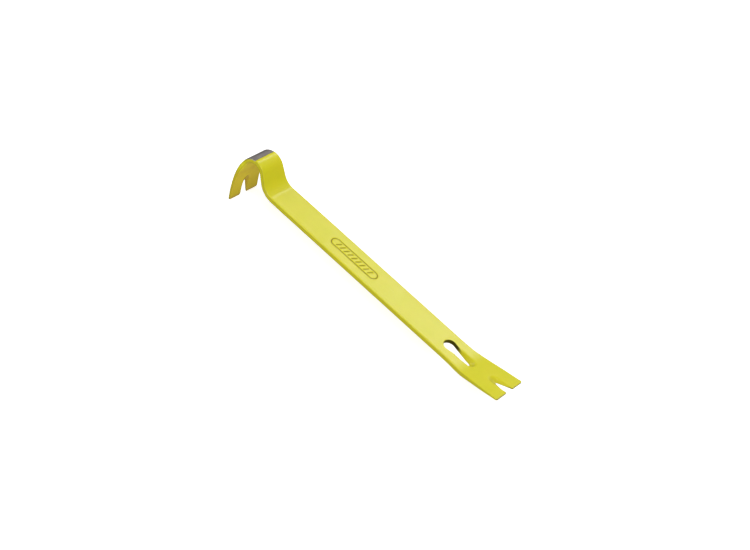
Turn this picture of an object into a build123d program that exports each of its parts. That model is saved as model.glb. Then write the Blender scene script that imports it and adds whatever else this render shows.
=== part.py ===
from build123d import *
import math
import os

os.makedirs("parts", exist_ok=True)

# ---------------------------------------------------------------------------
# Flat utility pry bar: one steel forging and its coating.
# Frame: origin on the underside of the straight shank, at the middle of its
# length and width.  +X runs along the shank to the straight claw, +Y across
# the bar, +Z up, on the side the heel rises to.  Millimetres and degrees.
# Sizes are over the coating.  The side view is worked in (x, z) points.
# ---------------------------------------------------------------------------

# overall
BAR_LENGTH = 381.0        # end to end along X
CLAW_WIDTH = 44.45        # both claws at their tips
SHANK_WIDTH = 36.0
NECK_WIDTH = 35.0         # where the neck leaves the shank
HEEL_WIDTH = 31.5         # over the crest of the heel
THICKNESS = 5.2           # shank, neck and heel
COAT = 0.25               # coating thickness
EDGE_R = 0.75             # rounding of the long edges

# side view: lengths, radii and angles of the top surface
FLAT_CLAW_LENGTH = 45.3   # straight part of the straight claw
FLAT_CLAW_RISE = 9.0      # angle the straight claw lifts
FLAT_BEND_R = 119.0       # bend between shank and straight claw
NECK_BEND_R = 19.0        # bend between shank and neck
NECK_ANGLE = 54.5         # angle the neck climbs
NECK_LENGTH = 11.4        # straight part of the neck
HEEL_R = 16.4             # round heel, outside
HEEL_SWEEP = 121.9
HEEL_BLEND_R = 23.7       # easing from the heel into the hook claw
HEEL_BLEND_SWEEP = 18.8
HOOK_R = 132.0            # gentle curl of the hook claw
HOOK_SWEEP = 20.4
FLAT_TIP_THICKNESS = 1.75 # straight claw at its tip, which is cut square
HOOK_TIP_THICKNESS = 1.65 # hook claw at its tip, before its edge is ground
TAPER_POWER = 0.85        # how the claws thicken away from their tips
HOOK_BEVEL = 3.6          # length of the ground edge inside the hook's tip
HOOK_EDGE = 1.0           # thickness left at the hook's very tip

# width of the straight claw: (distance from its tip along the top, half width)
FLAT_FLARE = [(78, SHANK_WIDTH / 2), (64, 18.5), (52, 19.75), (40, 20.5), (20, 21.65)]
FLARE_OVERRUN = 0.6       # the flare ends this far past the tip
PLAN_OVERRUN = 4.0        # the outline runs on this far past the flare

# width of the hook claw against height
HOOK_FLARE_DROP = 10.4    # the flare starts this far below the heel's crest
HOOK_FLARE = [(18.75, 7.2), (20.7, 14.5)]   # (half width, drop from the flare's start)
HOOK_FLARE_MID_Z = -14.0  # last shaping point above the tip
HOOK_FLARE_MID_OUT = 0.15 # and how far it bulges from its neighbours' mean

# nail slot: a teardrop with a bevelled narrow end; distances from the straight tip
SLOT_HEAD_R = 7.3         # round end
SLOT_HEAD_S = 80.3
SLOT_NECK_R = 1.7         # narrow end
SLOT_NECK_S = 53.7
SLOT_BEVEL_HALF = 5.6     # half width of the bevel on the top face
SLOT_BEVEL_END_S = 46.0
SLOT_BEVEL_EXTRA = 0.35   # growth of the bevel at the cutter's raised top
SLOT_BEVEL_START = 4.5    # bevel cutter starts this far past the round end's centre
SLOT_BEVEL_INSET = 0.05   # keeps its lower corners inside the slot
SLOT_LAND = 0.8           # straight wall left under the bevel

# V notches in both claws
NOTCH_MOUTH_HALF = 5.35   # half width at the tip
NOTCH_ROOT_R = 1.2        # rounded root
NOTCH_DEPTH = 17.2        # tip to root
NOTCH_BEVEL_HALF = 5.3    # half width of the bevel past the root
NOTCH_BEVEL_DEPTH = 26.5  # tip to the far end of the bevel
NOTCH_LAND = 0.7          # straight wall left under the bevel
NOTCH_BEVEL_SPREAD = 0.35 # share of the bevel's slope kept above the face

# bare ground strip, measured round the heel from its crest towards the hook claw
STRIP_START = 8.0
STRIP_END = 64.0

# stamped pattern on the shank: a rounded frame round a row of slant bars
STAMP_DEPTH = 0.45
STAMP_LENGTH = 66.0
STAMP_HEIGHT = 12.0
STAMP_LINE = 1.1
STAMP_X = -24.0           # middle of the pattern
STAMP_BARS = 9
STAMP_BAR_PITCH = 5.8
STAMP_BAR_LENGTH = 7.0
STAMP_BAR_SLANT = 28.0    # angle from square across

# how far cutters and blanks run past the bar
LIFT = 0.6                # bevel cutters start this far over the face
REACH = 5.0               # notch cutters run this far past the claw's tip
STAMP_LIFT = 0.2
SPAN = 40.0               # side sections are extruded this far to each side
ENVELOPE_MARGIN = 5.0     # width outlines clear the bar's top and bottom by this


# ---------------------------------------------------------------------------
# side view geometry; a station is a point and the heading there
# ---------------------------------------------------------------------------
def direction(heading):
    return math.cos(math.radians(heading)), math.sin(math.radians(heading))


def ahead(point, heading, distance):
    run_x, run_z = direction(heading)
    return point[0] + distance * run_x, point[1] + distance * run_z


def left_of(point, heading, distance):
    """Point square to the heading; left is into the metal when walking towards the hook."""
    run_x, run_z = direction(heading)
    return point[0] - distance * run_z, point[1] + distance * run_x


def walk(point, heading, radius, sweep):
    """Station at the end of an arc; a positive sweep turns left."""
    to_centre = radius if sweep > 0 else -radius
    centre = left_of(point, heading, to_centre)
    return left_of(centre, heading + sweep, -to_centre), heading + sweep


def between(start, end):
    return end[0] - start[0], end[1] - start[1]


def hook_stations(back_x):
    """Stations of the top surface from a shank that ends at back_x to the hook's tip."""
    neck_start = walk((back_x, THICKNESS), 180.0, NECK_BEND_R, -NECK_ANGLE)
    neck_end = (ahead(*neck_start, NECK_LENGTH), neck_start[1])
    heel_end = walk(*neck_end, HEEL_R, HEEL_SWEEP)
    blend_end = walk(*heel_end, HEEL_BLEND_R, HEEL_BLEND_SWEEP)
    hook_tip = walk(*blend_end, HOOK_R, HOOK_SWEEP)
    return neck_start, neck_end, blend_end, hook_tip


# the shank takes up what the two ends leave of the bar's length
rise_cos, rise_sin = direction(FLAT_CLAW_RISE)
flat_reach = ((FLAT_BEND_R + FLAT_TIP_THICKNESS) * rise_sin + FLAT_CLAW_LENGTH * rise_cos)
hook_reach = HOOK_R - left_of(*hook_stations(0.0)[2], HOOK_R)[0]
FRONT_X = (BAR_LENGTH - flat_reach - hook_reach) / 2   # bend to the straight claw starts
BACK_X = -FRONT_X                                      # bend to the neck starts

neck_start, neck_end, blend_end, hook_tip = hook_stations(BACK_X)
heel_centre = left_of(*neck_end, HEEL_R)
CREST_X = heel_centre[0]
CREST_Z = heel_centre[1] + HEEL_R

FLAT_BACK = FLAT_CLAW_RISE + 180.0     # heading back along the straight claw
flat_bend_end = walk((FRONT_X, THICKNESS), 0.0, FLAT_BEND_R, FLAT_CLAW_RISE)[0]
flat_tip = ahead(flat_bend_end, FLAT_CLAW_RISE, FLAT_CLAW_LENGTH)
HOOK_LENGTH = HOOK_R * math.radians(HOOK_SWEEP)


def claw_wall(tip_thickness, share):
    """Claw thickness at a share of the claw's length from its tip."""
    return tip_thickness + (THICKNESS - tip_thickness) * share ** TAPER_POWER


def hook_inner(fraction, trim=0.0):
    """Point on the hook claw's inner face; fraction is 1 at the tip."""
    station = walk(*blend_end, HOOK_R, HOOK_SWEEP * fraction)
    return left_of(*station, claw_wall(HOOK_TIP_THICKNESS, 1 - fraction) - trim)


def flat_under(fraction, trim=0.0):
    """Point on the straight claw's underside; fraction is 1 at the tip."""
    top = ahead(flat_bend_end, FLAT_CLAW_RISE, FLAT_CLAW_LENGTH * fraction)
    return left_of(top, FLAT_BACK, claw_wall(FLAT_TIP_THICKNESS, 1 - fraction) - trim)


def top_at(distance):
    """Point on the top surface at a distance along it from the straight tip."""
    if distance <= FLAT_CLAW_LENGTH:
        return ahead(flat_tip, FLAT_BACK, distance)
    turned = math.degrees((distance - FLAT_CLAW_LENGTH) / FLAT_BEND_R)
    if turned <= FLAT_CLAW_RISE:
        return walk((FRONT_X, THICKNESS), 0.0, FLAT_BEND_R, FLAT_CLAW_RISE - turned)[0]
    bend_length = FLAT_BEND_R * math.radians(FLAT_CLAW_RISE)
    return FRONT_X - (distance - FLAT_CLAW_LENGTH - bend_length), THICKNESS


def side_section(inset):
    """Side view of the bar, pulled in by inset all round."""
    depth = THICKNESS - inset
    hook_full = 1.0 - inset / HOOK_LENGTH
    flat_full = 1.0 - inset / FLAT_CLAW_LENGTH
    hook_in = [hook_inner(hook_full * f, inset) for f in (1.0, 0.8, 0.55, 0.28)]
    blend_start = left_of(*blend_end, depth)
    towards_heel = direction(blend_end[1] + 180.0)
    claw_under = [flat_under(flat_full * f, inset) for f in (0.3, 0.6, 0.85, 1.0)]
    tip_top = left_of(ahead(flat_tip, FLAT_BACK, inset), FLAT_BACK, inset)
    bend_top = left_of(flat_bend_end, FLAT_BACK, inset)

    with BuildSketch(Plane.XZ) as section:
        with BuildLine():
            # top surface, from the shank to the hook's tip
            shank = Line((FRONT_X, depth), (BACK_X, depth))
            neck_bend = JernArc(start=shank @ 1, tangent=(-1, 0),
                                radius=NECK_BEND_R + inset, arc_size=-NECK_ANGLE)
            neck = Line(neck_bend @ 1, left_of(*neck_end, inset))
            heel = JernArc(start=neck @ 1, tangent=neck % 1,
                           radius=HEEL_R - inset, arc_size=HEEL_SWEEP)
            blend = JernArc(start=heel @ 1, tangent=heel % 1,
                            radius=HEEL_BLEND_R - inset, arc_size=HEEL_BLEND_SWEEP)
            hook_back = JernArc(start=blend @ 1, tangent=blend % 1,
                                radius=HOOK_R - inset, arc_size=HOOK_SWEEP * hook_full)
            # inner face, back to the shank and along its underside
            Line(hook_back @ 1, hook_in[0])
            Spline(*hook_in, blend_start,
                   tangents=[between(hook_in[0], hook_in[1]), towards_heel])
            blend_in = JernArc(start=blend_start, tangent=towards_heel,
                               radius=HEEL_BLEND_R - depth, arc_size=-HEEL_BLEND_SWEEP)
            heel_in = JernArc(start=blend_in @ 1, tangent=blend_in % 1,
                              radius=HEEL_R - depth, arc_size=-HEEL_SWEEP)
            neck_in = Line(heel_in @ 1, left_of(*neck_start, depth))
            neck_bend_in = JernArc(start=neck_in @ 1, tangent=neck_in % 1,
                                   radius=NECK_BEND_R + depth, arc_size=NECK_ANGLE)
            underside = Line(neck_bend_in @ 1, (FRONT_X, inset))
            # straight claw: underside, square tip and top
            flat_bend_in = JernArc(start=underside @ 1, tangent=(1, 0),
                                   radius=FLAT_BEND_R + depth, arc_size=FLAT_CLAW_RISE)
            Spline(flat_bend_in @ 1, *claw_under,
                   tangents=[direction(FLAT_CLAW_RISE), between(*claw_under[-2:])])
            Line(claw_under[-1], tip_top)
            Line(tip_top, bend_top)
            JernArc(start=bend_top, tangent=direction(FLAT_BACK),
                    radius=FLAT_BEND_R + inset, arc_size=-FLAT_CLAW_RISE)
        make_face()
    return section.sketch


# ---------------------------------------------------------------------------
# width of the bar: drawn from above in front of the heel's crest, and from the
# end for the hook claw behind it
# ---------------------------------------------------------------------------
TOP_Z = CREST_Z + ENVELOPE_MARGIN
LOW_Z = hook_tip[0][1] - ENVELOPE_MARGIN


def plan_outline(inset):
    """View from above, from the heel's crest to past the straight tip."""
    # (x, half width) over the coating
    heel_run = [(CREST_X, HEEL_WIDTH / 2), (CREST_X + 10.0, HEEL_WIDTH / 2 + 0.45),
                (BACK_X - 13.0, NECK_WIDTH / 2), (BACK_X + 22.0, SHANK_WIDTH / 2)]
    flare_run = [(top_at(distance)[0], half) for distance, half in FLAT_FLARE]
    flare_run.append((flat_tip[0] + FLARE_OVERRUN, CLAW_WIDTH / 2))
    heel_run = [(x, y - inset) for x, y in heel_run]
    flare_run = [(x, y - inset) for x, y in flare_run]
    end_x = flare_run[-1][0] + PLAN_OVERRUN
    with BuildSketch(Plane.XY.offset(LOW_Z)) as plan:
        with BuildLine():
            Spline(*heel_run, tangents=[(1, 0), (1, 0)])
            Line(heel_run[-1], flare_run[0])
            Spline(*flare_run, tangents=[(1, 0), (1, 0.04)])
            Line(flare_run[-1], (end_x, flare_run[-1][1]))
            Polyline((end_x, flare_run[-1][1]), (end_x, 0), (CREST_X, 0), heel_run[0])
        make_face()
        mirror(about=Plane.XZ)
    return plan.sketch


def end_outline(inset):
    """View along X of the heel and hook claw: narrow over the heel, flaring below it."""
    flare_top_z = CREST_Z - HOOK_FLARE_DROP
    upper = [(HEEL_WIDTH / 2 - inset, flare_top_z)]
    upper += [(half - inset, flare_top_z - drop) for half, drop in HOOK_FLARE]
    tip = (CLAW_WIDTH / 2 - inset, hook_tip[0][1])
    middle = ((upper[-1][0] + tip[0]) / 2 + HOOK_FLARE_MID_OUT, HOOK_FLARE_MID_Z)
    top = (upper[0][0], TOP_Z)
    with BuildSketch(Plane.YZ.offset(CREST_X)) as end_view:
        with BuildLine():
            Line(top, upper[0])
            Spline(*upper, tangents=[(0, -1), (0.09, -1)])
            Spline(upper[-1], middle, tip, tangents=[(0.09, -1), (0.02, -1)])
            Polyline(tip, (tip[0], LOW_Z), (0, LOW_Z), (0, TOP_Z), top)
        make_face()
        mirror(about=Plane.YZ)   # the sketch's own YZ, which is the bar's XZ
    return end_view.sketch


def width_envelope(inset):
    plan = plan_outline(inset)
    end_view = end_outline(inset)
    with BuildPart() as envelope:
        extrude(plan, amount=TOP_Z - LOW_Z)
        extrude(end_view, amount=-30)
    return envelope.part


# ---------------------------------------------------------------------------
# cutters; grow widens them for the bare steel, because the coating also lines
# their walls
# ---------------------------------------------------------------------------
def face_plane(point, run):
    """Plane on a face of the bar, its x axis along run and its z axis out to run's left."""
    along = Vector(run[0], 0, run[1]).normalized()
    return Plane(origin=(point[0], 0, point[1]), x_dir=along, z_dir=(-along.Z, 0, along.X))


def draw_tongue(corner, tangent, end_x):
    """Outline with a square end at corner and a round end from tangent to end_x."""
    (corner_x, corner_y), (tangent_x, tangent_y) = corner, tangent
    Line((corner_x, corner_y), (tangent_x, tangent_y))
    ThreePointArc((tangent_x, tangent_y), (end_x, 0), (tangent_x, -tangent_y))
    Line((tangent_x, -tangent_y), (corner_x, -corner_y))
    Line((corner_x, -corner_y), (corner_x, corner_y))


flat_claw_plane = face_plane(flat_tip, direction(FLAT_CLAW_RISE))
hook_in_tip = hook_inner(1.0)
hook_in_far = hook_inner(1.0 - NOTCH_BEVEL_DEPTH * 0.9 / HOOK_LENGTH)
hook_claw_plane = face_plane(hook_in_tip, between(hook_in_far, hook_in_tip))
flat_root_wall = claw_wall(FLAT_TIP_THICKNESS, NOTCH_DEPTH / FLAT_CLAW_LENGTH)
hook_root_wall = claw_wall(HOOK_TIP_THICKNESS, NOTCH_DEPTH / HOOK_LENGTH)


def notch_cutter(plane, root_wall, grow):
    """V notch through a claw, with a round-ended bevel on the plane's side."""
    root = NOTCH_ROOT_R + grow
    run = NOTCH_DEPTH - NOTCH_ROOT_R
    lean = math.atan2(NOTCH_MOUTH_HALF - NOTCH_ROOT_R, run)
    tangent = (-run - root * math.sin(lean), root * math.cos(lean))
    mouth = (REACH, tangent[1] + (REACH - tangent[0]) * math.tan(lean))
    bevel_depth = root_wall - NOTCH_LAND
    slope = (NOTCH_BEVEL_HALF - NOTCH_ROOT_R) / bevel_depth
    spread = grow + LIFT * NOTCH_BEVEL_SPREAD * slope
    wide = NOTCH_BEVEL_HALF + spread
    far = NOTCH_BEVEL_DEPTH + spread
    above, beneath = LIFT + 3, 12
    with BuildPart() as cutter:
        with BuildSketch(plane.offset(above)):
            with BuildLine():
                draw_tongue(mouth, tangent, -run - root)
            make_face()
        extrude(amount=-(above + beneath))
        with BuildSketch(plane.offset(LIFT - grow)):
            with BuildLine():
                draw_tongue((REACH, wide), (wide - far, wide), -far)
            make_face()
        with BuildSketch(plane.offset(-bevel_depth - grow)):
            with BuildLine():
                draw_tongue(mouth, tangent, -run - root)
            make_face()
        loft()
    return cutter.part


slot_head_x = top_at(SLOT_HEAD_S)[0]
slot_neck_x = top_at(SLOT_NECK_S)[0]
slot_bevel_end = top_at(SLOT_BEVEL_END_S)
slot_head_top = (slot_head_x, THICKNESS)
slot_plane = face_plane(slot_head_top, between(slot_head_top, slot_bevel_end))


def slot_cutter(grow):
    """Teardrop nail slot: straight walls, and a bevel from the top at its narrow end."""
    neck_r = SLOT_NECK_R + grow
    neck_at = slot_neck_x - slot_head_x
    lean = math.asin((SLOT_HEAD_R - SLOT_NECK_R) / neck_at)
    tangent = (neck_at + neck_r * math.sin(lean), neck_r * math.cos(lean))
    start = SLOT_BEVEL_START
    start_half = tangent[1] + (tangent[0] - start) * math.tan(lean) - SLOT_BEVEL_INSET
    wide = SLOT_BEVEL_HALF + grow + SLOT_BEVEL_EXTRA
    far = slot_bevel_end[0] - slot_head_x + grow + SLOT_BEVEL_EXTRA
    with BuildPart() as cutter:
        with BuildSketch(Plane.XY.offset(THICKNESS + 8)):
            with Locations((slot_head_x, 0)):
                Circle(SLOT_HEAD_R + grow)
            with Locations((slot_neck_x, 0)):
                Circle(neck_r)
            make_hull()
        extrude(amount=-(THICKNESS + 16))
        with BuildSketch(slot_plane.offset(LIFT - grow)):
            with BuildLine():
                draw_tongue((start, wide), (far - wide, wide), far)
            make_face()
        with BuildSketch(slot_plane.offset(-(THICKNESS - SLOT_LAND) - grow)):
            with BuildLine():
                draw_tongue((start, start_half), tangent, neck_at + neck_r)
            make_face()
        loft()
    return cutter.part


def hook_edge_wedge(trim):
    """Wedge that grinds the hook's edge, from its inner face to its tip."""
    start = hook_inner(1.0 - HOOK_BEVEL / HOOK_LENGTH)
    end = left_of(*hook_tip, HOOK_EDGE)
    run_x, run_z = between(start, end)
    heading = math.degrees(math.atan2(run_z, run_x))
    near = left_of(ahead(start, heading, -0.6), heading, -trim)
    far = left_of(ahead(end, heading, 3), heading, -trim)
    with BuildPart() as wedge:
        with BuildSketch(Plane.XZ):
            with BuildLine():
                Polyline(near, far, left_of(far, heading, 5), left_of(near, heading, 5),
                         close=True)
            make_face()
        extrude(amount=SPAN, both=True)
    return wedge.part


def is_long_edge(edge):
    """True for edges that run along the bar between its faces and its sides."""
    across_wall = edge.bounding_box().size.X < 0.01 and edge.length < THICKNESS + 0.1
    return abs(edge.center().Y) > 12 and edge.length > 2.5 and not across_wall


def bar_form(inset):
    """The whole bar with every surface pulled in by inset."""
    side = side_section(inset)
    envelope = width_envelope(inset)
    frame_in = STAMP_LINE + inset
    with BuildPart() as form:
        extrude(side, amount=SPAN, both=True)
        add(envelope, mode=Mode.INTERSECT)
        fillet(form.edges().filter_by(is_long_edge), radius=EDGE_R - inset)
        add(hook_edge_wedge(inset), mode=Mode.SUBTRACT)
        add(notch_cutter(flat_claw_plane, flat_root_wall, inset), mode=Mode.SUBTRACT)
        add(notch_cutter(hook_claw_plane, hook_root_wall, inset), mode=Mode.SUBTRACT)
        add(slot_cutter(inset), mode=Mode.SUBTRACT)
        with BuildSketch(Plane.XY.offset(THICKNESS + STAMP_LIFT)):
            with Locations((STAMP_X, 0)):
                SlotOverall(STAMP_LENGTH + 2 * inset, STAMP_HEIGHT + 2 * inset)
                SlotOverall(STAMP_LENGTH - 2 * frame_in, STAMP_HEIGHT - 2 * frame_in,
                            mode=Mode.SUBTRACT)
                with GridLocations(STAMP_BAR_PITCH, 1, STAMP_BARS, 1):
                    SlotOverall(STAMP_BAR_LENGTH + 2 * inset, STAMP_LINE + 2 * inset,
                                rotation=90 - STAMP_BAR_SLANT)
        extrude(amount=-(STAMP_DEPTH + inset + STAMP_LIFT), mode=Mode.SUBTRACT)
    return form.part


# the bar over its coating; kept only to cut the coating from
coated_form = bar_form(0.0)

# ---------------------------------------------------------------------------
# forged_bar: the steel
# ---------------------------------------------------------------------------
forged_bar = bar_form(COAT)
forged_bar.label = "forged_bar"
export_step(forged_bar, "parts/forged_bar.step")

# ---------------------------------------------------------------------------
# enamel_coat: one skin over the steel, open at the bare strip over the heel
# ---------------------------------------------------------------------------
strip_angles = (STRIP_START, (STRIP_START + STRIP_END) / 2, STRIP_END)
strip_rays = [ahead(heel_centre, 90 + angle, HEEL_R + 20) for angle in strip_angles]

with BuildPart() as enamel_coat:
    add(coated_form)
    add(forged_bar, mode=Mode.SUBTRACT)
    # a sector of a ring round the heel
    with BuildSketch(Plane.XZ):
        with Locations(heel_centre):
            Circle(HEEL_R + 6)
            Circle(HEEL_R - COAT - 0.1, mode=Mode.SUBTRACT)
        with BuildLine():
            Polyline(heel_centre, *strip_rays, heel_centre)
        make_face(mode=Mode.INTERSECT)
    extrude(amount=SPAN, both=True, mode=Mode.SUBTRACT)
enamel_coat.part.label = "enamel_coat"
export_step(enamel_coat.part, "parts/enamel_coat.step")
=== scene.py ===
"""A forged flat bar with a yellow enamel coat and a bare steel strip over its heel.

The bar lies along X, with its width along Y and the shank's underside at z = 0.
The straight claw is at +X, its tip lifted a little.  At -X the neck rises to the
heel, which bends over into the hook, and the hook runs down to a second claw.
"""
from math import acos, asin, atan2, cos, dist, hypot, pi, radians, sin, tan

import bpy
import numpy as np
from mathutils import Matrix, Vector, geometry, noise


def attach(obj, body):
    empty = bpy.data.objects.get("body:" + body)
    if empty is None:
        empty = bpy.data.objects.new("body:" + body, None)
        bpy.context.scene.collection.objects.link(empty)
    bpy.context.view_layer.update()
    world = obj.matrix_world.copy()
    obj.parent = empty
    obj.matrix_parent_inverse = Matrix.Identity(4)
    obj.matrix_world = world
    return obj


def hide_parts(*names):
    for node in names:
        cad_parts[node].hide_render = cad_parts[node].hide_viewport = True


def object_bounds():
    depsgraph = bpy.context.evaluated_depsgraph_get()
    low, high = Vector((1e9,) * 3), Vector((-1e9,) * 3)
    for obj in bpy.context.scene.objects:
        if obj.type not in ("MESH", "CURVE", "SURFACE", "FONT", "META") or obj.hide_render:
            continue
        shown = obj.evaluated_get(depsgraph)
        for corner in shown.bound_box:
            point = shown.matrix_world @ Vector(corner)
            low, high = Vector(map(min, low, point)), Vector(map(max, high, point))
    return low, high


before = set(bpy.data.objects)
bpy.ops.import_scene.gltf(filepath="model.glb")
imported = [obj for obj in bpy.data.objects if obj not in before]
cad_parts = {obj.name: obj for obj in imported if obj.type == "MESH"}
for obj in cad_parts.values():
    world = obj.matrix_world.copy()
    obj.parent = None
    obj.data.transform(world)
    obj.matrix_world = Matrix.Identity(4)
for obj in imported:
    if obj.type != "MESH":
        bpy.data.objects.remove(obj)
cad_lo, cad_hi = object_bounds()

# ---------------------------------------------------------------------------
# Sizes.  The bar is a flat plate that is bent along its length.  Flat places are
# (along, y): along runs on the top surface from the straight claw's tip to the
# hook's tip.  Lengths are in millimetres and angles in degrees; meshes are
# turned to metres when they are made.
# ---------------------------------------------------------------------------
MM = 0.001
THICK = 5.2
COAT = 0.22

# side profile
CLAW_L, CLAW_RISE, BEND_R = 45.3, 9.0, 119.0
NECK_BEND_R, NECK_ANGLE, NECK_L = 19.0, 54.5, 11.4
HEEL_R, HEEL_SWEEP = 16.4, 121.9
BLEND_R, BLEND_SWEEP = 23.7, 18.8
HOOK_R, HOOK_SWEEP = 132.0, 20.4
PROFILE_STEP = 0.1

# half widths
HEEL_HALF, SHANK_HALF, TIP_HALF = 15.75, 18.0, 22.225

# thickness at the tips, how the wall grows from them, and the hook's end bevel
CLAW_TIP, HOOK_TIP = 1.75, 1.65
TAPER_POWER = 0.85
HOOK_BEVEL, HOOK_EDGE = 3.6, 1.0
LEAST_WALL = 0.70

# teardrop slot, and the bevel beside its narrow end
SLOT_HEAD_R, SLOT_HEAD_AT = 7.3, 80.3
SLOT_NECK_R, SLOT_NECK_AT = 1.7, 53.7
SLOT_BEVEL_HALF, SLOT_BEVEL_END, SLOT_LAND = 5.6, 46.0, 0.8
SLOT_BEVEL_CENTRE = SLOT_BEVEL_END + SLOT_BEVEL_HALF

# V notch in each claw, and the bevel beside it
NOTCH_MOUTH, NOTCH_ROOT_R, NOTCH_DEPTH = 5.35, 1.2, 17.2
NOTCH_BEVEL_HALF, NOTCH_BEVEL_DEPTH, NOTCH_LAND = 5.3, 26.5, 0.7
NOTCH_BEVEL_CENTRE = NOTCH_BEVEL_DEPTH - NOTCH_BEVEL_HALF
PRONG_CORNER_R, MOUTH_CORNER_R = 2.1, 0.9
NOTCH_STEP = 0.75

# rounding of the long edges, of the crisp ones and of the slot's
SIDE_ROUND, CRISP_ROUND, SLOT_ROUND = 1.3, 0.30, 0.32

# bare strip, in degrees round the heel from its crest
STRIP_A, STRIP_B = 8.0, 64.0

# stamped capsule line with slanted bars inside it
STAMP_X, STAMP_L, STAMP_H, STAMP_LINE, STAMP_DEPTH = -24.0, 66.0, 12.0, 1.1, 0.45
STAMP_EASE = 0.22
BARS, BAR_PITCH, BAR_L, BAR_SLANT = 9, 5.8, 7.0, 28.0

# the shank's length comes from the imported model's own length
CLAW_REACH = (BEND_R * sin(radians(CLAW_RISE)) + CLAW_L * cos(radians(CLAW_RISE))
              + CLAW_TIP * sin(radians(CLAW_RISE)))
SHANK_FRONT_X = cad_hi.x / MM - CLAW_REACH
SHANK_BACK_X = -SHANK_FRONT_X

# kind, length or radius, sweep (positive turns the heading anticlockwise in x and z)
SEGMENTS = [
    ("line", CLAW_L, 0.0),
    ("arc", BEND_R, -CLAW_RISE),
    ("line", SHANK_FRONT_X - SHANK_BACK_X, 0.0),
    ("arc", NECK_BEND_R, -NECK_ANGLE),
    ("line", NECK_L, 0.0),
    ("arc", HEEL_R, HEEL_SWEEP),
    ("arc", BLEND_R, BLEND_SWEEP),
    ("arc", HOOK_R, HOOK_SWEEP),
]


# ---------------------------------------------------------------------------
# side profile, width and thickness
# ---------------------------------------------------------------------------
def walk_profile():
    """Rows of along, x, z and heading on the top surface, and where each segment starts."""
    rise = radians(CLAW_RISE)
    heading = radians(180.0 + CLAW_RISE)
    x = SHANK_FRONT_X + BEND_R * sin(rise) + CLAW_L * cos(rise)
    z = THICK + BEND_R * (1 - cos(rise)) + CLAW_L * sin(rise)
    along = 0.0
    rows, starts = [(along, x, z, heading)], [0.0]
    for kind, size, sweep in SEGMENTS:
        length = size if kind == "line" else size * radians(abs(sweep))
        steps = max(2, int(length / PROFILE_STEP))
        for i in range(1, steps + 1):
            gone = length * i / steps
            if kind == "line":
                rows.append((along + gone, x + gone * cos(heading), z + gone * sin(heading),
                             heading))
            else:
                sign = 1 if sweep > 0 else -1
                centre_x = x - sign * size * sin(heading)
                centre_z = z + sign * size * cos(heading)
                turned = heading + sign * gone / size
                rows.append((along + gone, centre_x + sign * size * sin(turned),
                             centre_z - sign * size * cos(turned), turned))
        along, x, z, heading = rows[-1]
        starts.append(along)
    return np.array(rows), starts


PROFILE, STARTS = walk_profile()
PROFILE_ALONG, PROFILE_X, PROFILE_Z, PROFILE_HEADING = PROFILE.T
SHANK_START, SHANK_END, TOTAL = STARTS[2], STARTS[3], STARTS[-1]
CREST = float(PROFILE_ALONG[PROFILE_Z.argmax()])
CREST_X, CREST_Z = np.interp(CREST, PROFILE_ALONG, PROFILE_X), PROFILE_Z.max()
HOOK_L = HOOK_R * radians(HOOK_SWEEP)
STAMP_AT = CLAW_L + BEND_R * radians(CLAW_RISE) + (SHANK_FRONT_X - STAMP_X)


def smooth(x):
    """Smooth step from 0 to 1."""
    x = np.clip(x, 0.0, 1.0)
    return x * x * (3 - 2 * x)


def from_tip(along):
    return np.minimum(along, TOTAL - along)


def steady(at, stations):
    """Smooth curve through (place, value) stations that never overshoots them."""
    places, values = np.array(stations, float).T
    gaps = np.diff(places)
    slopes = np.diff(values) / gaps
    tangents = np.zeros(len(places))
    tangents[0], tangents[-1] = slopes[0], slopes[-1]
    for i in range(1, len(places) - 1):
        if slopes[i - 1] * slopes[i] > 0:
            before = 2 * gaps[i] + gaps[i - 1]
            after = gaps[i] + 2 * gaps[i - 1]
            tangents[i] = (before + after) / (before / slopes[i - 1] + after / slopes[i])
    k = np.clip(np.searchsorted(places, at) - 1, 0, len(places) - 2)
    t = np.clip((at - places[k]) / gaps[k], 0, 1)
    return ((2 * t**3 - 3 * t**2 + 1) * values[k]
            + (t**3 - 2 * t**2 + t) * gaps[k] * tangents[k]
            + (-2 * t**3 + 3 * t**2) * values[k + 1]
            + (t**3 - t**2) * gaps[k] * tangents[k + 1])


def x_at(along):
    return np.interp(along, PROFILE_ALONG, PROFILE_X)


# x, half width: from the heel's crest to the straight claw's tip
PLAN_WIDTHS = [
    (CREST_X - 30, HEEL_HALF), (CREST_X, HEEL_HALF), (CREST_X + 10, 16.2),
    (SHANK_BACK_X - 13, 17.5), (SHANK_BACK_X + 22, SHANK_HALF), (x_at(78), SHANK_HALF),
    (x_at(64), 18.5), (x_at(52), 19.75), (x_at(40), 20.5), (x_at(20), 21.65),
    (x_at(0) + 0.6, TIP_HALF),
]
# z, half width: from the hook's tip up to the crest
FLARE_Z = CREST_Z - 10.4
HOOK_WIDTHS = [
    (PROFILE_Z[-1] - 2, TIP_HALF), (PROFILE_Z[-1], TIP_HALF), (-14.0, 21.62),
    (FLARE_Z - 14.5, 20.7), (FLARE_Z - 7.2, 18.75), (FLARE_Z, HEEL_HALF),
    (CREST_Z + 9, HEEL_HALF),
]
PROFILE_HALF = np.where(PROFILE_ALONG <= CREST, steady(PROFILE_X, PLAN_WIDTHS),
                        steady(PROFILE_Z, HOOK_WIDTHS))


def half_width(along):
    return np.interp(along, PROFILE_ALONG, PROFILE_HALF)


def taper(tip, share):
    return tip + (THICK - tip) * np.clip(share, 0, 1)**TAPER_POWER


def thickness(along):
    ends = np.minimum(taper(CLAW_TIP, along / CLAW_L), taper(HOOK_TIP, (TOTAL - along) / HOOK_L))
    return np.minimum(THICK, ends)


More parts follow.
